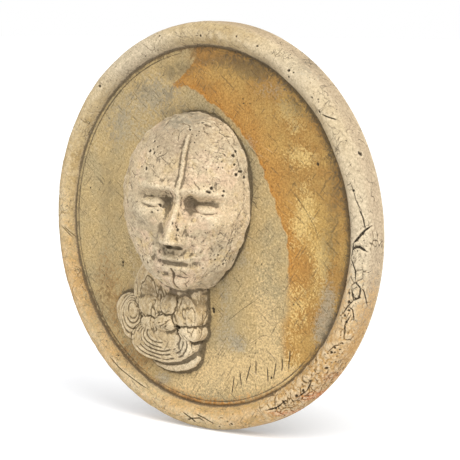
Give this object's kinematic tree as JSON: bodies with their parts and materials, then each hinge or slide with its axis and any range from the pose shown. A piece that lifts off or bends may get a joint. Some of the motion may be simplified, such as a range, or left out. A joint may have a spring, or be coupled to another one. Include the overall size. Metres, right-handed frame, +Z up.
{
  "type": "relief roundel",
  "caption": "Round fired-clay wall plaque with a bead rim, a mask-like head turned in high relief, and a collar of ribbed shells and petals.",
  "frame": {"origin": "centre of the flat back face", "axes": "+Y points out of the back, into the wall; the relief faces -Y; +Z is up; +X is to the viewer's right"},
  "size_m": [0.5, 0.1172, 0.5],
  "materials": {
    "fired_clay": "matte"
  },
  "bodies": {
    "root": {"relief_roundel": "fired_clay"}
  },
  "joints": []
}
